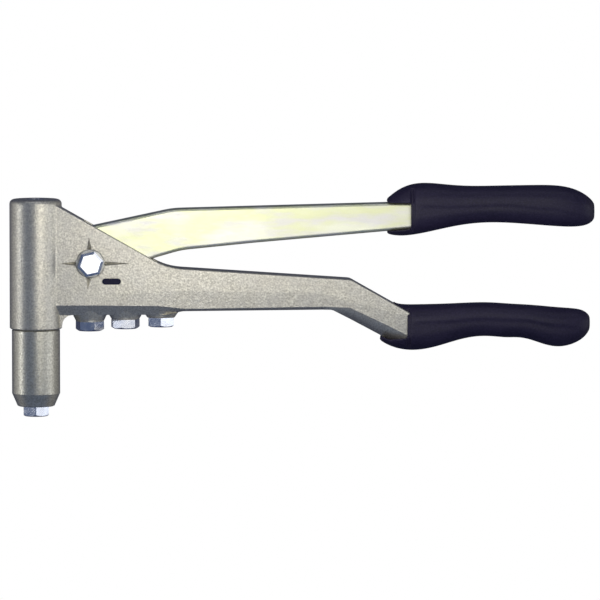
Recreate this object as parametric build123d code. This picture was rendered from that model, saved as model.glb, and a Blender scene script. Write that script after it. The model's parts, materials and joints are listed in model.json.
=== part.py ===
from build123d import *

import os
from math import cos, radians, sin, tan

# Plier-type hand riveter. Millimetres and degrees.
#
# The tool lies flat in the XY plane. The origin is the centre of the mouth of the fitted
# nozzle. +Y runs up the nozzle axis into the barrel, +X runs along the handles, and +Z is the
# axis of the pivot bolt. The handles are closed, which is where the tool pulls a rivet home.

# ---- driving dimensions ---------------------------------------------------------------------
BODY_HALF = 8.3  # half thickness of the die-cast cheeks and arm
SLOT_HALF = 5.7  # half width of the slot between the cheeks
GUSSET_HALF = 5.0
UPPER_EDGE_R = 0.7  # rounding of the casting's upper edges
BARREL_BLEND = 1.5  # radius between the barrel and the cheeks
LEVER_HALF = 5.5  # half width of the pressed-steel lever channel
LEVER_GAP_HALF = 3.3  # half width inside the channel
WEB = 2.5  # thickness of the channel's web
LEVER_BEND_R = 1.7

BARREL_R = 12.5
BARREL_BOTTOM = 41.9
BARREL_TOP = 104.0
BARREL_BORE_R = 8.0
BARREL_BORE_TOP = 96.0
NOSE_THREAD_R = 9.5
NOSE_THREAD_TOP = 53.0
EXIT_R = 4.5

SLEEVE_R = 11.5
SLEEVE_BORE_R = 7.5
SLEEVE_BOTTOM = 4.8
SLEEVE_CHAMFER_TOP = 11.0
SLEEVE_FLOOR = 10.5  # inner face of the sleeve's end wall

NOZZLE_FLATS = 12.0  # across the flats
HEX_INSET = 0.7  # from the flats to the round end face of a nozzle or nut
NOZZLE_SHANK_R = 4.0
NOZZLE_SHANK = 6.0
NOZZLE_TAIL = 6.0
NOZZLE_THREAD_GAP = 0.1
MAIN_NOZZLE_BORE_R = 1.6

# Spare nozzles in their bosses: x, lower end of the boss, bore radius, turn of the hexagon.
SPARE_NOZZLES = [
    (25.8, 45.3, 1.3, 17.0),
    (42.8, 46.3, 1.1, -20.0),
    (59.8, 47.1, 0.9, -2.0),
]
SPARE_HEAD = 4.5
BOSS_ROOT = 2.4  # height above the underside of the cheeks where a boss begins
BOSS_ROOT_SIZE = (9.4, 6.7)  # half sizes along the tool and across it
BOSS_TIP_SIZE = (6.6, 4.9)

UNDERSIDE = 48.7  # underside of the cheeks

PIVOT = (25.9, 73.5)
SPOT_FACE_R = 7.2
SPOT_FACE_DEPTH = 0.5
GROOVE_DEPTH = 1.5
# Tips of the four grooves of the star round the pivot, from the pivot, and half their width.
STAR_TIPS = [(-14.6, 0.0, 1.1), (19.5, 0.0, 1.1), (-0.7, 12.6, 1.4), (-1.4, -12.8, 1.5)]
MARK_PLACE = (10.1, -8.6)  # from the pivot
MARK_LENGTH = 9.0
MARK_HEIGHT = 3.0
MARK_DEPTH = 0.3
BOLT_R = 3.0
BOLT_FLATS = 11.0
BOLT_TURN = 12.0
BOLT_BEVEL = 1.2  # width of the sloping border round the top of the bolt head
BOLT_BEVEL_DROP = 0.5
BOLT_HEAD = 4.0
WASHER = 1.2
LOCK_WASHER = 0.8
NUT = 3.2
BUSH_R = 5.0
PIVOT_CLEARANCE = 0.05

NOSE_REACH = 25.9  # pivot to the centre of the lever's forked nose
NOSE_ANGLE = 10.0  # the nose stands this far above the level of the pivot at rest
NOSE_R = 4.0
NECK_HALF = 2.7  # half height of the fork behind its rounded nose
HUB_R = 9.5

CONE_ANGLE = 8.5  # half angle of the cone that closes the jaws
CONE_MOUTH_R = 3.4
JAW_CASE_R = 7.2
JAW_CASE_BOTTOM = 26.0
JAW_CASE_TOP = 54.0
CONE_TOP = 42.6
JAW_BOTTOM = 26.4
JAW_TOP = 40.0
JAW_BORE_R = 0.9
JAW_CLEARANCE = 0.08
PUSHER_BORE_R = 1.8
PUSHER_STEM_R = 2.7
PUSHER_STEM_TOP = 62.0
PUSHER_CLEARANCE = 0.1

TRACTION_THREAD_BOTTOM = 47.2
TRACTION_COLLAR_TOP = 57.0
TRACTION_WAIST_R = 6.3
TRACTION_WAIST_TOP = 72.3
GROOVE_BOTTOM = 73.9
GROOVE_TOP = 82.1
TRACTION_TOP = 86.8
TONGUE_HALF = 3.1  # half thickness of the tongue between the fork's tines
SPRING_BOTTOM = 43.8
SPRING_TOP = 56.2
SPRING_R = 3.55
SPRING_WIRE_R = 0.35

TANG_HALF = 5.5  # half thickness of the casting's tang inside its grip
LEVER_GRIP_MOUTH = 179.2  # where the lever disappears into its grip
BODY_GRIP_MOUTH = 177.4
WIDE = 40.0  # reach of a cut that goes right through
CLEAR = 4.0  # how far the outer side of a bevel cutter stands off the casting


# ---- helpers --------------------------------------------------------------------------------
def rounded_face(corners):
    """Flat face in XY from (x, y, corner radius) triples."""
    points = [(x, y) for x, y, _ in corners]
    radii = [radius for _, _, radius in corners]
    return make_face(FilletPolyline(*points, radius=radii, close=True))


def slab(face, half):
    """Solid of a face in XY, as thick on either side of the mid-plane."""
    return extrude(face, amount=half, both=True)


def turned(*points, x=0.0):
    """Solid turned about a line parallel to Y, from (radius, y) points."""
    profile = make_face(Polyline(*points, close=True))
    return Pos(x, 0, 0) * revolve(profile, Axis.Y)


def along_z(face, bottom, top):
    """Solid of a face in XY between two heights."""
    return Pos(0, 0, bottom) * extrude(face, amount=top - bottom)


def hexagon(flats):
    """Flat hexagon in XY, by its size across the flats."""
    return RegularPolygon(flats / 2, 6, major_radius=False)


def chamfered_hexagon(flats, height):
    """Upright hexagonal head with the corners of its lower end turned off."""
    head = extrude(hexagon(flats), amount=height)
    face_r = flats / 2 - HEX_INSET
    corner_r = flats / 2 / cos(radians(30)) + 0.01
    low = (corner_r - face_r) * tan(radians(30))
    points = [(0, 0), (face_r, 0), (corner_r, low), (corner_r, height), (0, height)]
    outline = make_face(Polyline(*points, close=True))
    return head & (Rot(90, 0, 0) * revolve(outline, Axis.Y))


def from_pivot(reach, lift):
    """Point at a distance from the pivot towards the lever's nose, and above that line."""
    angle = radians(180 - NOSE_ANGLE)
    return (
        PIVOT[0] + reach * cos(angle) + lift * sin(angle),
        PIVOT[1] + reach * sin(angle) - lift * cos(angle),
    )


def pick(part, test):
    """Edges of a part whose middle point passes a test."""
    return [edge for edge in part.edges() if test(edge.position_at(0.5))]


# ---- casting --------------------------------------------------------------------------------
def arm_face():
    """Side view of the cheeks and of the arm that carries on into the lower handle."""
    return rounded_face(
        [
            (0, UNDERSIDE, 0),
            (63, UNDERSIDE, 6),
            (70, 50.4, 10),
            (141.4, 50.9, 5),
            (168.5, 36.3, 4),
            (184, 38.0, 1),
            (184, 48.4, 1),
            (179.5, 48.8, 3),
            (150.5, 65.3, 5),
            (62.6, 71.3, 30),
            (9, 101.8, 0),
            (0, 101.8, 0),
        ]
    )


def tang_face():
    """Narrow end of the casting, buried in the lower grip."""
    return rounded_face(
        [
            (176, 38.0, 0),
            (186, 38.6, 4),
            (250, 40.5, 3),
            (250, 46.5, 3),
            (186, 47.6, 4),
            (176, 48.6, 0),
        ]
    )


def gusset_face():
    """Side view of the web that rounds the corner between the barrel and the cheeks."""
    return rounded_face(
        [
            (6, BARREL_BOTTOM + 0.8, 0),
            (12.3, BARREL_BOTTOM + 0.8, 0),
            (13.2, 48.0, 4.5),
            (19, UNDERSIDE + 0.2, 0),
            (19, 53, 0),
            (6, 53, 0),
        ]
    )


def slot_face():
    """Side view of the slot that the lever moves in, open to the barrel's bore and upwards."""
    return rounded_face(
        [
            (0, 62.0, 0),
            (36, 62.0, 4),
            (59.5, 74.2, 0),
            (76, 84, 0),
            (76, 115, 0),
            (23.3, 115, 0),
            (23.3, 92.8, 2),
            (14.0, 88.6, 3),
            (14.0, 84.5, 0),
            (0, 84.5, 0),
        ]
    )


def bevel_section(x, low, rise, depth, bulge):
    """Section of the cutter of a lower edge, with a bulge from 0, flat, to 0.4, round."""
    corner = Vector(low, BODY_HALF)
    upper = Vector(low + rise, BODY_HALF)
    lower = Vector(low, BODY_HALF - depth)
    middle = (upper + lower) / 2
    belly = middle + (corner - middle) * bulge
    outside = (low - CLEAR, BODY_HALF + CLEAR)
    bevel = ThreePointArc(upper, belly, lower) if bulge else Line(upper, lower)
    outline = [bevel, Line(lower, outside), Line(outside, upper)]
    return Plane.YZ.offset(x) * make_face(outline)


def lower_edge_bevel():
    """Cutter that bevels both lower edges, broadly under the cheeks and the elbow."""
    flat = [bevel_section(x, UNDERSIDE, 4.8, 3.0, 0) for x in (5.0, 58.0)]
    rounded = [
        bevel_section(58.0, UNDERSIDE, 4.8, 3.0, 0.01),
        bevel_section(71.0, 50.3, 2.2, 2.6, 0.30),
        bevel_section(137.0, 50.8, 2.6, 2.8, 0.35),
        bevel_section(150.0, 46.3, 6.0, 5.2, 0.25),
        bevel_section(168.0, 36.6, 7.6, 6.2, 0.25),
        bevel_section(187.0, 26.4, 8.6, 6.6, 0.25),
    ]
    cutter = loft(flat, ruled=True) + loft(rounded, ruled=True)
    return cutter + mirror(cutter, Plane.XY)


def side_lean():
    """Cutter that leans the lower half of both sides inwards, below a faint crease."""
    stations = [  # x, crease, underside, depth at the crease, depth at the underside
        (13.0, 60.0, UNDERSIDE, -0.30, -0.30),
        (40.0, 60.0, UNDERSIDE, -0.03, 0.35),
        (71.0, 61.0, 50.3, -0.03, 0.60),
        (136.0, 59.5, 50.8, -0.03, 0.60),
        (150.0, 55.5, 46.4, -0.03, 0.45),
        (187.0, 46.5, 35.0, -0.03, 0.40),
    ]
    sections = []
    for x, crease, low, top_depth, low_depth in stations:
        outline = Polyline(
            (crease, BODY_HALF - top_depth),
            (low - CLEAR, BODY_HALF - low_depth),
            (low - CLEAR, BODY_HALF + CLEAR),
            (crease, BODY_HALF + CLEAR),
            close=True,
        )
        sections.append(Plane.YZ.offset(x) * make_face(outline))
    cutter = loft(sections, ruled=True)
    return cutter + mirror(cutter, Plane.XY)


def star_ray(x, y, half):
    """Cutter of one groove: a pyramid, deepest at the foot and running out at the tip."""
    above = 0.5
    grow = 1 + above / GROOVE_DEPTH
    tip = Vector(x, y)
    ahead = tip.normalized()
    foot = ahead * (SPOT_FACE_R - 0.7)
    aside = Vector(-ahead.Y, ahead.X) * half
    corners = [foot + (tip - foot) * grow, foot + aside * grow, foot - aside * grow]
    mouth_face = Pos(0, 0, BODY_HALF + above) * make_face(Polyline(*corners, close=True))
    apex = Vertex(foot.X, foot.Y, BODY_HALF - GROOVE_DEPTH)
    return Pos(*PIVOT) * loft([mouth_face, apex])


def boss(x, tip):
    """Oval boss for a spare nozzle, which grows out of the bevel of the cheeks."""
    levels = [(tip, BOSS_TIP_SIZE), (UNDERSIDE + BOSS_ROOT, BOSS_ROOT_SIZE)]
    sections = []
    for y, size in levels:
        level = Plane(origin=(x, y, 0), x_dir=(1, 0, 0), z_dir=(0, 1, 0))
        sections.append(level * Ellipse(*size))
    return loft(sections)


def mark_recess():
    """Shallow recess beside the pivot for a plain painted bar."""
    bar = SlotOverall(MARK_LENGTH, MARK_HEIGHT)
    place = (PIVOT[0] + MARK_PLACE[0], PIVOT[1] + MARK_PLACE[1])
    return Pos(*place) * along_z(bar, BODY_HALF - MARK_DEPTH, BODY_HALF + 1)


def is_upper(point):
    """Whether a point of the outline is on the casting's upper side."""
    return point.Y > max(48, 100 - 0.57 * point.X)


def body_casting():
    cheeks = slab(arm_face(), BODY_HALF) + slab(tang_face(), TANG_HALF)
    side_edges = pick(cheeks, lambda p: abs(p.Z) > BODY_HALF - 0.01)
    upper = [edge for edge in side_edges if edge.center().X > 13 and is_upper(edge.center())]
    cheeks = fillet(upper, UPPER_EDGE_R) - side_lean() - lower_edge_bevel()
    for ray in STAR_TIPS:
        cheeks -= star_ray(*ray)

    barrel = turned((0, BARREL_BOTTOM), (BARREL_R, BARREL_BOTTOM), (BARREL_R, BARREL_TOP), (0, BARREL_TOP))
    barrel = fillet(pick(barrel, lambda p: p.Y > BARREL_TOP - 0.1), 2.4)
    barrel = chamfer(pick(barrel, lambda p: p.Y < BARREL_BOTTOM + 0.1), 0.5)

    casting = cheeks + barrel + slab(gusset_face(), GUSSET_HALF)
    for x, tip, _, _ in SPARE_NOZZLES:
        casting += boss(x, tip)

    casting -= slab(slot_face(), SLOT_HALF)
    casting -= turned((0, 0), (NOSE_THREAD_R, 0), (NOSE_THREAD_R, NOSE_THREAD_TOP), (0, NOSE_THREAD_TOP))
    casting -= turned((0, 50), (BARREL_BORE_R, 50), (BARREL_BORE_R, BARREL_BORE_TOP), (0, BARREL_BORE_TOP))
    casting -= turned((0, 90), (EXIT_R, 90), (EXIT_R, 110), (0, 110))
    hole_r = NOZZLE_SHANK_R + NOZZLE_THREAD_GAP
    for x, tip, _, _ in SPARE_NOZZLES:
        top = tip + NOZZLE_SHANK + NOZZLE_TAIL + 0.8
        casting -= turned((0, 40), (hole_r, 40), (hole_r, top - 1.5), (0, top + 0.6), x=x)

    seat = BODY_HALF - SPOT_FACE_DEPTH
    at_pivot = Pos(*PIVOT)
    casting -= at_pivot * along_z(Circle(SPOT_FACE_R), seat, WIDE)
    casting -= at_pivot * along_z(Circle(SPOT_FACE_R), -WIDE, -seat)
    casting -= at_pivot * along_z(Circle(BOLT_R + 0.1), -WIDE, WIDE)
    casting -= mark_recess()
    joint = pick(casting, lambda p: 9.0 < p.X < 9.8 and 60 < p.Y < 95 and abs(p.Z) > BODY_HALF - 0.1)
    return fillet(joint, BARREL_BLEND)


def mandrel_exit_bush():
    """Flanged bush in the top of the barrel, where the broken stems fall out."""
    inner = BARREL_BORE_TOP - 1.2
    return turned(
        (2.6, inner),
        (6.5, inner),
        (6.5, BARREL_BORE_TOP),
        (EXIT_R, BARREL_BORE_TOP),
        (EXIT_R, BARREL_TOP - 0.4),
        (EXIT_R - 0.4, BARREL_TOP),
        (2.6, BARREL_TOP),
    )


# ---- nose -----------------------------------------------------------------------------------
def nose_sleeve():
    """Tube that screws into the barrel and carries the fitted nozzle in its end wall."""
    hole_r = NOZZLE_SHANK_R + NOZZLE_THREAD_GAP
    thread_r = NOSE_THREAD_R - 0.1
    return turned(
        (hole_r, SLEEVE_BOTTOM),
        (8.3, SLEEVE_BOTTOM),
        (8.9, SLEEVE_BOTTOM + 0.3),
        (SLEEVE_R - 0.15, SLEEVE_CHAMFER_TOP - 0.3),
        (SLEEVE_R, SLEEVE_CHAMFER_TOP),
        (SLEEVE_R, BARREL_BOTTOM - 0.7),
        (SLEEVE_R - 0.7, BARREL_BOTTOM),
        (thread_r, BARREL_BOTTOM),
        (thread_r, NOSE_THREAD_TOP - 1.0),
        (SLEEVE_BORE_R, NOSE_THREAD_TOP - 1.0),
        (SLEEVE_BORE_R, SLEEVE_FLOOR),
        (hole_r, SLEEVE_FLOOR),
    )


def nozzle(x, head_bottom, head, bore_r, turn):
    """Hexagonal nozzle with a threaded shank and a tapered tail. The tail opens the jaws."""
    top = head_bottom + head
    tail = top + NOZZLE_SHANK
    end = tail + NOZZLE_TAIL
    upright = Rot(0, 0, 90 + turn) * chamfered_hexagon(NOZZLE_FLATS, head)
    head_solid = Pos(0, head_bottom, 0) * (Rot(-90, 0, 0) * upright)
    shank = turned(
        (0, top - 0.5),
        (NOZZLE_SHANK_R, top - 0.5),
        (NOZZLE_SHANK_R, tail),
        (NOZZLE_SHANK_R - 0.6, tail + 0.3),
        (2.4, end),
        (0, end),
    )
    bore = turned((0, head_bottom - 1), (bore_r, head_bottom - 1), (bore_r, end + 1), (0, end + 1))
    return Pos(x, 0, 0) * (head_solid + shank - bore)


# ---- pivot ----------------------------------------------------------------------------------
def pivot_bolt():
    """Hexagon bolt that clamps the cheeks on the pivot bush."""
    under_head = BODY_HALF - SPOT_FACE_DEPTH + WASHER
    end = -(BODY_HALF - SPOT_FACE_DEPTH + LOCK_WASHER + NUT + 0.5)
    rim = BOLT_HEAD - BOLT_BEVEL_DROP
    top_face = Pos(0, 0, BOLT_HEAD) * hexagon(BOLT_FLATS - 2 * BOLT_BEVEL)
    head = extrude(hexagon(BOLT_FLATS), amount=rim) + loft([Pos(0, 0, rim) * hexagon(BOLT_FLATS), top_face])
    shank = along_z(Circle(BOLT_R), end, under_head + 0.5)
    shank = chamfer(pick(shank, lambda p: p.Z < end + 0.1), 0.4)
    return Pos(*PIVOT) * (Pos(0, 0, under_head) * (Rot(0, 0, BOLT_TURN) * head) + shank)


def ring(outer_r, inner_r, bottom, top):
    """Flat ring on the pivot axis."""
    return Pos(*PIVOT) * along_z(Circle(outer_r) - Circle(inner_r), bottom, top)


def pivot_washer():
    seat = BODY_HALF - SPOT_FACE_DEPTH
    washer = ring(6.8, BOLT_R + 0.1, seat, seat + WASHER)
    top_edges = washer.edges().group_by(Axis.Z)[-1]
    return chamfer(top_edges.sort_by(SortBy.RADIUS)[-1], 0.3)


def pivot_lock_washer():
    seat = -(BODY_HALF - SPOT_FACE_DEPTH)
    return ring(5.6, BOLT_R + 0.1, seat - LOCK_WASHER, seat)


def pivot_nut():
    top = -(BODY_HALF - SPOT_FACE_DEPTH + LOCK_WASHER)
    nut = chamfered_hexagon(BOLT_FLATS, NUT)
    nut -= along_z(Circle(BOLT_R + 0.05), -1, NUT + 1)
    return Pos(PIVOT[0], PIVOT[1], top - NUT) * nut


def lever_bush():
    """Hardened spacer between the cheeks that the lever turns on."""
    return ring(BUSH_R, BOLT_R + 0.1, -SLOT_HALF, SLOT_HALF)


# ---- lever ----------------------------------------------------------------------------------
def lever_face():
    """Side view of the lever: forked nose, hub, cranked channel and the tang in its grip."""
    hub_angle = radians(-65)
    hub_tangent = (PIVOT[0] + HUB_R * cos(hub_angle), PIVOT[1] + HUB_R * sin(hub_angle))
    plate = rounded_face(
        [
            (*from_pivot(NOSE_REACH, NECK_HALF), 0),
            (*from_pivot(16.6, NECK_HALF), 3),
            (*from_pivot(11.0, 9.0), 3),
            (22.5, 90.2, 4),
            (65.6, 99.3, 40),
            (172, 101.9, 60),
            (256, 103.0, 3),
            (256, 96.5, 3),
            (203, 95.2, 12),
            (182, 89.5, 12),
            (103, 82.8, 150),
            (69.4, 79.5, 40),
            (56.4, 75.8, 20),
            (*hub_tangent, 0),
            (*PIVOT, 0),
            (*from_pivot(13.0, -NECK_HALF - 2.5), 0),
            (*from_pivot(17.0, -NECK_HALF), 3),
            (*from_pivot(NOSE_REACH, -NECK_HALF), 0),
        ]
    )
    nose = Pos(*from_pivot(NOSE_REACH, 0)) * Circle(NOSE_R)
    hub = Pos(*PIVOT) * Circle(HUB_R)
    return plate + nose + hub


def channel_face():
    """Side view of the space inside the lever's channel, under its web."""
    return make_face(
        Polyline(
            (-15, 45),
            (-15, 115),
            (17, 115),
            (23.5, 90.4 - WEB),
            (65.6, 99.3 - WEB),
            (172, 101.9 - WEB),
            (262, 103.0 - WEB),
            (262, 45),
            close=True,
        )
    )


def lever():
    bar = slab(lever_face(), LEVER_HALF)
    bends = pick(bar, lambda p: abs(p.Z) > LEVER_HALF - 0.01 and p.X > 24 and p.Y > 85 + 0.1 * min(p.X, 130))
    bar = fillet(bends, LEVER_BEND_R)
    bar -= slab(channel_face(), LEVER_GAP_HALF)
    return bar - Pos(*PIVOT) * slab(Circle(BUSH_R + PIVOT_CLEARANCE), WIDE)


# ---- pulling head ---------------------------------------------------------------------------
def cone_r(y):
    """Radius of the jaw case's closing cone at a height."""
    return CONE_MOUTH_R + (y - JAW_CASE_BOTTOM) * tan(radians(CONE_ANGLE))


def jaw_case():
    thread_r = cone_r(CONE_TOP)
    return turned(
        (CONE_MOUTH_R, JAW_CASE_BOTTOM),
        (JAW_CASE_R - 1.6, JAW_CASE_BOTTOM),
        (JAW_CASE_R, JAW_CASE_BOTTOM + 3.5),
        (JAW_CASE_R, JAW_CASE_TOP),
        (thread_r, JAW_CASE_TOP),
        (thread_r, CONE_TOP),
    )


def jaw(angle):
    """One of three jaws: a third of a cone with a toothed bore."""
    profile = [
        (JAW_BORE_R + 1.0, JAW_BOTTOM),
        (cone_r(JAW_BOTTOM) - JAW_CLEARANCE, JAW_BOTTOM),
        (cone_r(JAW_TOP) - JAW_CLEARANCE, JAW_TOP),
        (JAW_BORE_R, JAW_TOP),
    ]
    teeth = 7
    pitch = (JAW_TOP - JAW_BOTTOM - 3.0) / teeth
    for tooth in range(teeth):
        crest = JAW_TOP - 0.5 - tooth * pitch
        profile += [(JAW_BORE_R, crest), (JAW_BORE_R + 0.35, crest - 0.2)]
    whole = turned(*profile)
    gap = 0.15
    side = 30 * tan(radians(60))
    sector = make_face(Polyline((gap / sin(radians(60)), 0), (30, side), (30, -side), close=True))
    across = Plane(origin=(0, JAW_BOTTOM - 1, 0), x_dir=(0, 0, 1), z_dir=(0, 1, 0))
    wedge = across * extrude(sector, amount=20)
    return Rot(0, angle, 0) * (whole & wedge)


def jaw_pusher():
    """Sprung tube that keeps the jaws down in their cone."""
    return turned(
        (PUSHER_BORE_R, JAW_TOP + 0.1),
        (5.0, JAW_TOP + 0.1),
        (5.0, SPRING_BOTTOM),
        (PUSHER_STEM_R, SPRING_BOTTOM),
        (PUSHER_STEM_R, PUSHER_STEM_TOP),
        (PUSHER_BORE_R, PUSHER_STEM_TOP),
    )


def jaw_spring():
    """Coil spring between the pusher's head and the traction body."""
    low = SPRING_BOTTOM + SPRING_WIRE_R + 0.05
    high = SPRING_TOP - SPRING_WIRE_R - 0.05
    turns = 6
    rise = high - low
    path = Helix(pitch=rise / turns, height=rise, radius=SPRING_R, center=(0, low, 0), direction=(0, 1, 0))
    section = Plane(origin=path @ 0, z_dir=path % 0) * Circle(SPRING_WIRE_R)
    return sweep(section, path=path, is_frenet=True)


def traction_body():
    """Rod that the lever's fork lifts. It screws into the jaw case and lets the stems through."""
    thread_r = cone_r(CONE_TOP) - 0.05
    rod = turned(
        (4.2, TRACTION_THREAD_BOTTOM),
        (thread_r, TRACTION_THREAD_BOTTOM),
        (thread_r, JAW_CASE_TOP),
        (JAW_CASE_R, JAW_CASE_TOP),
        (JAW_CASE_R, TRACTION_TOP - 0.8),
        (JAW_CASE_R - 0.8, TRACTION_TOP),
        (PUSHER_BORE_R, TRACTION_TOP),
        (PUSHER_BORE_R, PUSHER_STEM_TOP + 4),
        (PUSHER_STEM_R + PUSHER_CLEARANCE, PUSHER_STEM_TOP + 4),
        (PUSHER_STEM_R + PUSHER_CLEARANCE, SPRING_TOP),
        (4.2, SPRING_TOP),
    )
    span = Rectangle(WIDE, GROOVE_TOP - GROOVE_BOTTOM)
    groove = Pos(0, (GROOVE_BOTTOM + GROOVE_TOP) / 2) * along_z(span, TONGUE_HALF, WIDE)
    waist = turned(
        (TRACTION_WAIST_R, TRACTION_COLLAR_TOP),
        (9, TRACTION_COLLAR_TOP),
        (9, TRACTION_WAIST_TOP),
        (TRACTION_WAIST_R, TRACTION_WAIST_TOP),
    )
    return rod - groove - mirror(groove, Plane.XY) - waist


# ---- grips ----------------------------------------------------------------------------------
def grip_blank(stations):
    """Soft oval handle lofted through (x, top, bottom, half width, lean) stations."""
    sections = []
    for x, top, bottom, half, lean in stations:
        shift = (top - bottom) / 2 * tan(radians(lean))
        low = Vector(x - shift, bottom)
        high = Vector(x + shift, top)
        up = (high - low).normalized()
        plane = Plane(origin=(low + high) / 2, x_dir=up, z_dir=(up.Y, -up.X, 0))
        height = (high - low).length
        sections.append(plane * RectangleRounded(height, 2 * half, 0.8 * min(half, height / 2)))
    return loft(sections)


def mouth(face, edge_x):
    """Side openings at a grip's mouth, where the handle's metal shows up to an edge."""
    band = face & (Pos(edge_x - 50, 70) * Rectangle(100, 100))
    return slab(band, WIDE)


def lever_grip():
    blank = grip_blank(
        [
            (168.3, 103.6, 86.9, 8.4, 0),
            (176.0, 108.9, 86.0, 10.6, 0),
            (184.0, 110.9, 87.0, 11.2, 0),
            (200.0, 109.9, 90.4, 10.6, 0),
            (220.0, 109.5, 92.2, 10.0, 0),
            (242.0, 109.8, 90.8, 10.2, 0),
            (257.0, 108.2, 90.0, 10.0, 0),
            (264.5, 104.4, 91.2, 7.6, 0),
            (267.5, 101.0, 93.8, 4.0, 0),
        ]
    )
    return blank - slab(lever_face(), LEVER_HALF) - mouth(lever_face(), LEVER_GRIP_MOUTH)


def body_grip():
    blank = grip_blank(
        [
            (168.0, 54.2, 35.8, 9.6, 19.4),
            (180.0, 52.6, 31.1, 11.2, 3),
            (190.0, 52.7, 32.4, 11.2, 0),
            (204.0, 53.1, 36.4, 10.6, 0),
            (214.0, 53.4, 37.7, 10.0, 0),
            (226.0, 52.8, 37.0, 10.0, 0),
            (240.0, 51.9, 34.8, 10.2, 0),
            (249.0, 51.1, 32.5, 10.0, 0),
            (258.0, 50.4, 34.0, 8.8, 0),
            (263.0, 49.2, 37.2, 7.0, 0),
            (265.4, 46.8, 41.0, 4.8, 0),
        ]
    )
    arm = slab(arm_face(), BODY_HALF) + slab(tang_face(), TANG_HALF)
    grip = blank - arm - mouth(arm_face(), BODY_GRIP_MOUTH)
    return grip.solids().sort_by(SortBy.VOLUME)[-1]


# ---- assembly -------------------------------------------------------------------------------
def all_nodes():
    nodes = {
        "body_casting": body_casting(),
        "mandrel_exit_bush": mandrel_exit_bush(),
        "nose_sleeve": nose_sleeve(),
        "nozzle_fitted": nozzle(0, 0, SLEEVE_BOTTOM, MAIN_NOZZLE_BORE_R, 0),
        "pivot_bolt": pivot_bolt(),
        "pivot_washer": pivot_washer(),
        "pivot_lock_washer": pivot_lock_washer(),
        "pivot_nut": pivot_nut(),
        "lever_bush": lever_bush(),
        "lever": lever(),
        "traction_body": traction_body(),
        "jaw_case": jaw_case(),
        "jaw_pusher": jaw_pusher(),
        "jaw_spring": jaw_spring(),
        "lever_grip": lever_grip(),
        "body_grip": body_grip(),
    }
    for number, (x, tip, bore_r, turn) in enumerate(SPARE_NOZZLES, start=1):
        nodes[f"spare_nozzle_{number}"] = nozzle(x, tip - SPARE_HEAD, SPARE_HEAD, bore_r, turn)
    for number in range(3):
        nodes[f"jaw_{number + 1}"] = jaw(120.0 * number)
    return nodes


os.makedirs("parts", exist_ok=True)
for name, shape in all_nodes().items():
    shape.label = name
    export_step(shape, f"parts/{name}.step")
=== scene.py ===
import json
import math

import bmesh
import bpy
from mathutils import Matrix, Vector


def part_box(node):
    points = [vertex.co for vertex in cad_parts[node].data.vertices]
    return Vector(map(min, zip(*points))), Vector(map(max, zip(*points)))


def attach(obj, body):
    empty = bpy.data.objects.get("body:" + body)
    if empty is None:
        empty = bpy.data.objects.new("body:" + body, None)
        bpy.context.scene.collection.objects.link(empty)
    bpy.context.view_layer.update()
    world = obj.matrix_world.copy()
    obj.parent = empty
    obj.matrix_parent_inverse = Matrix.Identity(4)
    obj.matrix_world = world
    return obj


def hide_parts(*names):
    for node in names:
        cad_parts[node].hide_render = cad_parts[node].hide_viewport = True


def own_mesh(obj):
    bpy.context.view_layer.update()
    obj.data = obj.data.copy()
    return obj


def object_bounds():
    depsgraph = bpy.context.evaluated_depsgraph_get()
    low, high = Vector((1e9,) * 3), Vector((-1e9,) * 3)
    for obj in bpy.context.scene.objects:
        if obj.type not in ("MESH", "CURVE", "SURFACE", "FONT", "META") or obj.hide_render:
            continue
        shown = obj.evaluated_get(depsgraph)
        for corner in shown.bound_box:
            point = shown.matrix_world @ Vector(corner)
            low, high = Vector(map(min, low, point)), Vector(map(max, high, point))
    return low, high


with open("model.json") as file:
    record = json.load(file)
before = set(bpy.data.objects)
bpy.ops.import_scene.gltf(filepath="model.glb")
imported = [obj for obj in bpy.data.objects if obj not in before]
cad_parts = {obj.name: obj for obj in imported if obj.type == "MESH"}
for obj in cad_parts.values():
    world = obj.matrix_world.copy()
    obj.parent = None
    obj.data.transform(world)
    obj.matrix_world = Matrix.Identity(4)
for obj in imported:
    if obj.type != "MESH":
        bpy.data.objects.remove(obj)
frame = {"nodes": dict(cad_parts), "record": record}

# Looks of the hand riveter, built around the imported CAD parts. Metres, in the CAD's own frame:
# the tool lies in the XY plane, +Y runs up the barrel, +X along the handles.

MM = 0.001
cad_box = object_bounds()
FLOOR = cad_box[0].z
NODES = frame["nodes"]

# Painted bar on the casting, in millimetres. Its middle is given from the pivot.
BAR_MIDDLE = (10.1, -8.6)
BAR_HALF = (4.6, 1.6)
BAR_LEVEL = 8.0  # height of the floor of the recess above the mid-plane
BAR_LEVEL_SPAN = 0.12
BAR_NAVY = (0.012, 0.012, 0.03)

# Grips, in millimetres: where the handle's metal goes in, the ends between which the flank is
# creased, and the line of the crease as (x, y).
LEVER_GRIP_MOUTH = 179.2
LEVER_GRIP_ENDS = (181, 266)
LEVER_GRIP_RIDGE = [(182, 100.5), (200, 100.0), (222, 100.8), (245, 99.0), (262, 96.0)]
BODY_GRIP_MOUTH = 177.4
BODY_GRIP_ENDS = (178, 264)
BODY_GRIP_RIDGE = [
    (180, 45.0), (195, 45.2), (212, 46.2), (232, 45.6), (250, 43.0), (262, 41.5),
]
SKIN_VOXEL = 0.5 * MM
SKIN_PASSES = 5
CREASE_STEP = 0.35
CREASE_WIDTH = 2.4
RIM_WIDTH = 1.9
RIM_DEPTH = 1.5


# ---- materials ------------------------------------------------------------------------------
def connect(tree, value, socket):
    """Gives a socket another node's output, a colour or a plain value."""
    if isinstance(value, bpy.types.NodeSocket):
        tree.links.new(value, socket)
    elif isinstance(value, tuple) and socket.type == "RGBA":
        socket.default_value = (*value, 1.0)
    else:
        socket.default_value = value


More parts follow.
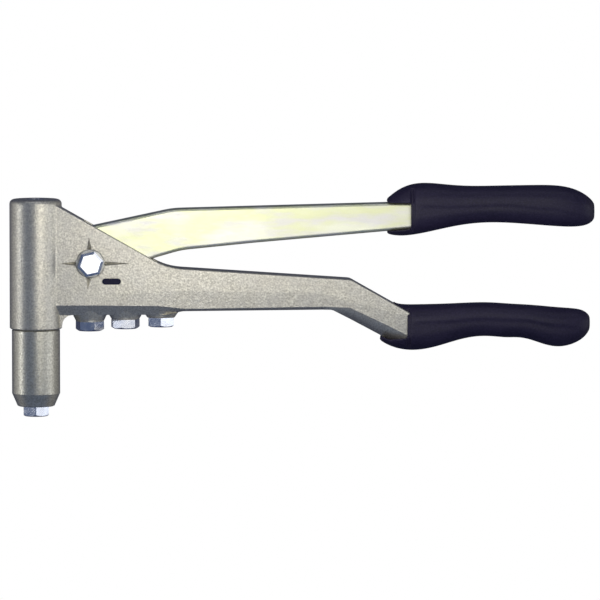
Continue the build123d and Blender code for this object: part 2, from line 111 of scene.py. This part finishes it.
def mixed_color(tree, share, a, b):
    """Colour a where share is 0 and colour b where it is 1."""
    node = tree.nodes.new("ShaderNodeMix")
    node.data_type = "RGBA"
    inputs = {socket.identifier: socket for socket in node.inputs}
    connect(tree, share, inputs["Factor_Float"])
    connect(tree, a, inputs["A_Color"])
    connect(tree, b, inputs["B_Color"])
    return next(socket for socket in node.outputs if socket.identifier == "Result_Color")


class Surface:
    """A material whose patterns lie still on the part. Sizes of patterns are in millimetres."""

    def __init__(self, name, metallic, specular=0.5):
        self.material = bpy.data.materials.new(name)
        self.material.use_nodes = True
        self.tree = self.material.node_tree
        self.shader = self.tree.nodes["Principled BSDF"]
        self.shader.inputs["Metallic"].default_value = metallic
        self.shader.inputs["Specular IOR Level"].default_value = specular
        self.place = self.tree.nodes.new("ShaderNodeTexCoord").outputs["Object"]

    def add(self, kind, **inputs):
        """Adds a node. Each input is a value or another node's output, by the socket's name."""
        node = self.tree.nodes.new(kind)
        for name, value in inputs.items():
            connect(self.tree, value, node.inputs[name.replace("_", " ").title()])
        return node

    def stretched(self, x=1.0, y=1.0, z=1.0):
        return self.add("ShaderNodeMapping", vector=self.place, scale=(x, y, z)).outputs["Vector"]

    def noise(self, size, detail=2.0, place=None):
        """Cloudy pattern from 0 to 1 whose spots are about this many millimetres across."""
        vector = place or self.place
        node = self.add("ShaderNodeTexNoise", vector=vector, scale=1 / (size * MM), detail=detail)
        return node.outputs["Fac"]

    def between(self, value, low, high, to_low=0.0, to_high=1.0):
        """Maps a range of one pattern to another range, and holds its ends."""
        node = self.add(
            "ShaderNodeMapRange",
            value=value, from_min=low, from_max=high, to_min=to_low, to_max=to_high,
        )
        return node.outputs["Result"]

    def math(self, operation, *values):
        node = self.tree.nodes.new("ShaderNodeMath")
        node.operation = operation
        for value, socket in zip(values, node.inputs):
            connect(self.tree, value, socket)
        return node.outputs["Value"]

    def mix(self, share, a, b):
        return mixed_color(self.tree, share, a, b)

    def bump(self, height, depth, strength):
        node = self.add("ShaderNodeBump", height=height, distance=depth * MM, strength=strength)
        return node.outputs["Normal"]

    def finish(self, color, roughness, normal):
        for name, value in (("Base Color", color), ("Roughness", roughness), ("Normal", normal)):
            connect(self.tree, value, self.shader.inputs[name])
        return self.material


def cast_alloy():
    """Sand-blasted die-cast alloy: warm grey, with a fine grain and faint cloudy patches."""
    s = Surface("cast_alloy", metallic=0.85)
    grain = s.noise(0.85, detail=4.0)
    speckle = s.noise(2.4, detail=3.0)
    patches = s.noise(9.0, detail=3.0)
    tone = s.mix(s.between(grain, 0.32, 0.68), (0.455, 0.43, 0.365), (0.81, 0.78, 0.665))
    tone = s.mix(s.between(speckle, 0.4, 0.65, 0.0, 0.45), tone, (0.53, 0.505, 0.44))
    tone = s.mix(s.between(patches, 0.35, 0.7, 0.0, 0.3), tone, (0.60, 0.585, 0.55))
    paint = s.mix(painted_bar(s), tone, BAR_NAVY)
    return s.finish(paint, s.between(grain, 0.3, 0.7, 0.48, 0.36), s.bump(grain, 0.16, 0.6))


def painted_bar(s):
    """1 on the floor of the shallow recess beside the pivot, and 0 elsewhere."""
    low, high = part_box("pivot_bolt")
    pivot = (low + high) / 2
    axes = s.add("ShaderNodeSeparateXYZ", vector=s.place).outputs
    across = s.math("COMPARE", axes["X"], pivot.x + BAR_MIDDLE[0] * MM, BAR_HALF[0] * MM)
    along = s.math("COMPARE", axes["Y"], pivot.y + BAR_MIDDLE[1] * MM, BAR_HALF[1] * MM)
    level = s.math("COMPARE", axes["Z"], BAR_LEVEL * MM, BAR_LEVEL_SPAN * MM)
    return s.math("MULTIPLY", s.math("MULTIPLY", across, along), level)


def sleeve_steel():
    """Blasted steel, a little darker than the casting."""
    s = Surface("sleeve_steel", metallic=0.9)
    grain = s.noise(0.9, detail=4.0)
    turning = s.noise(0.8, detail=2.0, place=s.stretched(0.05, 1.0, 0.05))
    tone = s.mix(s.between(grain, 0.32, 0.68), (0.47, 0.452, 0.37), (0.77, 0.747, 0.642))
    tone = s.mix(s.between(turning, 0.4, 0.65, 0.0, 0.2), tone, (0.46, 0.454, 0.402))
    return s.finish(tone, s.between(grain, 0.3, 0.7, 0.44, 0.34), s.bump(grain, 0.1, 0.5))


def bright_zinc():
    """Bright blue-passivated zinc plate on turned and pressed steel."""
    s = Surface("bright_zinc", metallic=1.0)
    cloud = s.noise(3.0, detail=3.0)
    grain = s.noise(0.3, detail=2.0)
    tone = s.mix(s.between(cloud, 0.35, 0.65), (0.70, 0.735, 0.82), (0.83, 0.845, 0.88))
    return s.finish(tone, s.between(cloud, 0.3, 0.7, 0.16, 0.30), s.bump(grain, 0.01, 0.15))


def matt_zinc():
    """Dull zinc plate on stamped washers."""
    s = Surface("matt_zinc", metallic=0.9)
    cloud = s.noise(2.5, detail=3.0)
    grain = s.noise(0.5, detail=3.0)
    tone = s.mix(s.between(cloud, 0.35, 0.65), (0.34, 0.34, 0.32), (0.50, 0.50, 0.47))
    return s.finish(tone, s.between(grain, 0.3, 0.7, 0.34, 0.50), s.bump(grain, 0.03, 0.5))


def yellow_zinc():
    """Pale yellow passivation on pressed steel, with faint lavender and green patches."""
    s = Surface("yellow_zinc", metallic=0.9)
    clouds = s.noise(11.0, detail=3.0, place=s.stretched(0.35, 1.0, 1.0))
    streaks = s.noise(4.0, detail=4.0, place=s.stretched(0.25, 1.0, 1.0))
    grain = s.noise(0.6, detail=3.0)
    tone = s.mix(s.between(clouds, 0.40, 0.60), (0.765, 0.785, 0.49), (0.845, 0.855, 0.68))
    tone = s.mix(s.between(streaks, 0.48, 0.68, 0.0, 0.6), tone, (0.86, 0.825, 0.88))
    tone = s.mix(s.between(grain, 0.35, 0.65, 0.0, 0.12), tone, (0.55, 0.56, 0.50))
    return s.finish(tone, s.between(streaks, 0.3, 0.7, 0.34, 0.46), s.bump(grain, 0.05, 0.5))


def hardened_steel():
    """Blackened hardened steel with turning marks."""
    s = Surface("hardened_steel", metallic=1.0)
    turning = s.noise(0.4, detail=2.0, place=s.stretched(0.06, 1.0, 0.06))
    oil = s.noise(4.0, detail=3.0)
    tone = s.mix(s.between(oil, 0.3, 0.7), (0.16, 0.16, 0.18), (0.30, 0.30, 0.31))
    return s.finish(tone, s.between(turning, 0.3, 0.7, 0.26, 0.42), s.bump(turning, 0.03, 0.5))


def grip_rubber():
    """Satin dark navy moulded grip with a fine, slightly dusty texture."""
    s = Surface("grip_rubber", metallic=0.0, specular=0.32)
    texture = s.noise(0.8, detail=3.0)
    dust = s.noise(7.0, detail=4.0, place=s.stretched(0.4, 1.0, 1.0))
    tone = s.mix(s.between(dust, 0.35, 0.7), (0.0125, 0.0090, 0.029), (0.0190, 0.0140, 0.040))
    tone = s.mix(s.between(texture, 0.42, 0.66, 0.0, 0.55), tone, (0.032, 0.025, 0.062))
    return s.finish(tone, s.between(dust, 0.3, 0.7, 0.42, 0.56), s.bump(texture, 0.08, 0.6))


MAKERS = {
    "cast_alloy": cast_alloy,
    "sleeve_steel": sleeve_steel,
    "bright_zinc": bright_zinc,
    "matt_zinc": matt_zinc,
    "yellow_zinc": yellow_zinc,
    "hardened_steel": hardened_steel,
    "grip_rubber": grip_rubber,
}


def paint_cad_nodes(materials):
    """Gives every CAD node the finish of its slot in the record."""
    for part in frame["record"]["subparts"]:
        data = NODES[part["node"]].data
        data.materials.clear()
        data.materials.append(materials[part["material_slot"]])


# ---- grips ----------------------------------------------------------------------------------
def smooth_step(value, low, high):
    share = min(max((value - low) / (high - low), 0.0), 1.0)
    return share * share * (3 - 2 * share)


def curve_through(points, x):
    """Height at x on the smooth line through (x, y) points."""
    for (x0, y0), (x1, y1) in zip(points, points[1:]):
        if x <= x1:
            break
    return y0 + (y1 - y0) * smooth_step(x, x0, x1)


def closed_copy(node, name):
    """A new object with a CAD node's shape, its vertices joined into one closed skin."""
    mesh = NODES[node].data.copy()
    work = bmesh.new()
    work.from_mesh(mesh)
    bmesh.ops.remove_doubles(work, verts=work.verts, dist=0.001 * MM)
    work.to_mesh(mesh)
    work.free()
    mesh.name = name
    piece = bpy.data.objects.new(name, mesh)
    bpy.context.scene.collection.objects.link(piece)
    return piece


def bake_modifiers(piece):
    graph = bpy.context.evaluated_depsgraph_get()
    mesh = bpy.data.meshes.new_from_object(piece.evaluated_get(graph))
    piece.modifiers.clear()
    piece.data = mesh


def moulded(node, name, voxel, passes):
    """Even skin over a CAD solid, with every sharp edge melted round as on a moulding."""
    piece = closed_copy(node, name)
    remesh = piece.modifiers.new("even", "REMESH")
    remesh.mode = "VOXEL"
    remesh.voxel_size = voxel
    soften = piece.modifiers.new("soften", "SMOOTH")
    soften.factor = 0.5
    soften.iterations = passes
    bake_modifiers(piece)
    return piece


def crease_flank(piece, ridge, step, width, ends):
    """Steps both flanks back below a line along the grip, which fades out near its ends."""
    for vertex in piece.data.vertices:
        x, y, z = (axis / MM for axis in vertex.co)
        fade = smooth_step(x, ends[0], ends[0] + 6) * (1 - smooth_step(x, ends[1] - 10, ends[1]))
        below = smooth_step(curve_through(ridge, x) - y, -width / 2, width / 2)
        outward = smooth_step(abs(z), 5.0, 8.0)
        vertex.co.z -= math.copysign(step * fade * below * outward * MM, z)


def turn_in_mouth(piece, mouth, width, depth):
    """Bevels the rim of both side openings, where the handle's metal goes in."""
    for vertex in piece.data.vertices:
        x, y, z = (axis / MM for axis in vertex.co)
        near = 1 - smooth_step(x, mouth + width / 2, mouth + width)
        past = smooth_step(x, mouth - 0.6, mouth - 0.1)
        outward = smooth_step(abs(z), 6.0, 9.0)
        vertex.co.z -= math.copysign(depth * near * past * outward * MM, z)


def add_grip(node, body, ridge, ends, mouth, material):
    piece = moulded(node, f"{node}_moulded", SKIN_VOXEL, SKIN_PASSES)
    turn_in_mouth(piece, mouth, RIM_WIDTH, RIM_DEPTH)
    crease_flank(piece, ridge, CREASE_STEP, CREASE_WIDTH, ends)
    piece.data.materials.clear()
    piece.data.materials.append(material)
    piece.data.shade_smooth()
    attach(piece, body)
    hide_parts(node)


def add_spring(material):
    """The jaw spring, copied as one closed skin and carried by the pulling head."""
    piece = closed_copy("jaw_spring", "jaw_spring_coils")
    piece.data.materials.clear()
    piece.data.materials.append(material)
    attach(piece, "pulling_head")
    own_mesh(piece)
    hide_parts("jaw_spring")


# ---- studio ---------------------------------------------------------------------------------
WHITE = (1.0, 1.0, 1.0)
WARM_WHITE = (1.0, 0.97, 0.90)
NAVY = (0.045, 0.055, 0.10)
LEFT_GREY = (0.42, 0.42, 0.44)
RIGHT_GREY = (0.26, 0.26, 0.27)
SKY_BLUE = (0.10, 0.13, 0.21)
CAMERA_YAW = math.radians(3.0)
CAMERA_TILT = math.radians(4.5)
CAMERA_DISTANCE = 3.0
CAMERA_TARGET = (0.1260, 0.0557, 0.008)
VIEW_WIDTH = 0.2866
SENSOR = 36  # millimetres
FLOOR_SIZE = 6.0
FLOOR_MIDDLE = (0.127, 0.055)


def emission(name, color, strength):
    material = bpy.data.materials.new(name)
    material.use_nodes = True
    tree = material.node_tree
    tree.nodes.remove(tree.nodes["Principled BSDF"])
    shader = tree.nodes.new("ShaderNodeEmission")
    shader.inputs["Color"].default_value = (*color, 1.0)
    shader.inputs["Strength"].default_value = strength
    tree.links.new(shader.outputs["Emission"], tree.nodes["Material Output"].inputs["Surface"])
    return material


def add_floor():
    """Plain white floor under the tool, which neither lights it nor shows in its metal."""
    mesh = bpy.data.meshes.new("floor")
    half = FLOOR_SIZE / 2
    corners = [(-half, -half, 0), (half, -half, 0), (half, half, 0), (-half, half, 0)]
    mesh.from_pydata(corners, [], [(0, 1, 2, 3)])
    mesh.materials.append(emission("floor_white", WHITE, 1.0))
    board = bpy.data.objects.new("floor", mesh)
    board.location = (*FLOOR_MIDDLE, FLOOR)
    bpy.context.scene.collection.objects.link(board)
    board.visible_glossy = False
    board.visible_diffuse = False


def add_softbox(name, place, target, width, height, power, color=WHITE):
    light = bpy.data.lights.new(name, "AREA")
    light.shape = "RECTANGLE"
    light.size = width
    light.size_y = height
    light.energy = power
    light.color = color
    lamp = bpy.data.objects.new(name, light)
    lamp.location = place
    lamp.rotation_euler = (Vector(target) - Vector(place)).to_track_quat("-Z", "Y").to_euler()
    lamp.visible_camera = False
    bpy.context.scene.collection.objects.link(lamp)


def add_world():
    """Dark navy surroundings, blue from above and grey low down on both sides."""
    world = bpy.data.worlds.new("studio")
    world.use_nodes = True
    tree = world.node_tree
    place = tree.nodes.new("ShaderNodeTexCoord").outputs["Generated"]
    axes = tree.nodes.new("ShaderNodeSeparateXYZ")
    tree.links.new(place, axes.inputs["Vector"])

    def ramp(value, low, high):
        node = tree.nodes.new("ShaderNodeMapRange")
        node.interpolation_type = "SMOOTHSTEP"
        node.inputs["From Min"].default_value = low
        node.inputs["From Max"].default_value = high
        tree.links.new(value, node.inputs["Value"])
        return node.outputs["Result"]

    right = mixed_color(tree, ramp(axes.outputs["X"], 0.45, 0.9), NAVY, RIGHT_GREY)
    sides = mixed_color(tree, ramp(axes.outputs["X"], -0.6, -0.95), right, LEFT_GREY)
    sky = mixed_color(tree, ramp(axes.outputs["Z"], -0.05, 0.35), sides, SKY_BLUE)
    tree.links.new(sky, tree.nodes["Background"].inputs["Color"])
    bpy.context.scene.world = world


def add_camera():
    """Square to the tool's flat side, but a little from the barrel's side and from above."""
    target = Vector(CAMERA_TARGET)
    back = Vector((-math.tan(CAMERA_YAW), math.tan(CAMERA_TILT), 1)).normalized()
    right = Vector((0, 1, 0)).cross(back).normalized()
    data = bpy.data.cameras.new("camera")
    data.sensor_width = SENSOR
    data.lens = data.sensor_width * CAMERA_DISTANCE / VIEW_WIDTH
    camera = bpy.data.objects.new("camera", data)
    turn = Matrix((right, back.cross(right), back)).transposed()
    camera.matrix_world = Matrix.Translation(target + CAMERA_DISTANCE * back) @ turn.to_4x4()
    bpy.context.scene.collection.objects.link(camera)
    bpy.context.scene.camera = camera


def build_studio():
    add_floor()
    for name, x, width, power in (
        ("overhead_left", 0.065, 0.09, 0.148),
        ("overhead_right", 0.205, 0.19, 0.146),
    ):
        add_softbox(name, (x, 0.125, 0.22), (x, 0.125, 0.0), width, 0.20, power, WARM_WHITE)
    add_softbox("right", (1.4, 0.06, 0.48), (0.10, 0.06, 0.0), 0.5, 0.9, 2.2)
    add_softbox("left", (-0.8, 0.06, 0.20), (0.0, 0.06, 0.0), 0.5, 0.16, 0.9)
    add_softbox("back", (0.12, 1.0, 0.30), (0.12, 0.06, 0.0), 1.2, 0.25, 1.0)
    add_world()
    add_camera()
    bpy.context.scene.view_settings.view_transform = "Standard"


# ---- the scene ------------------------------------------------------------------------------
materials = {slot: make() for slot, make in MAKERS.items()}
paint_cad_nodes(materials)
rubber = materials["grip_rubber"]
add_grip("lever_grip", "lever_arm", LEVER_GRIP_RIDGE, LEVER_GRIP_ENDS, LEVER_GRIP_MOUTH, rubber)
add_grip("body_grip", "frame", BODY_GRIP_RIDGE, BODY_GRIP_ENDS, BODY_GRIP_MOUTH, rubber)
add_spring(materials["hardened_steel"])
build_studio()

bpy.context.view_layer.update()
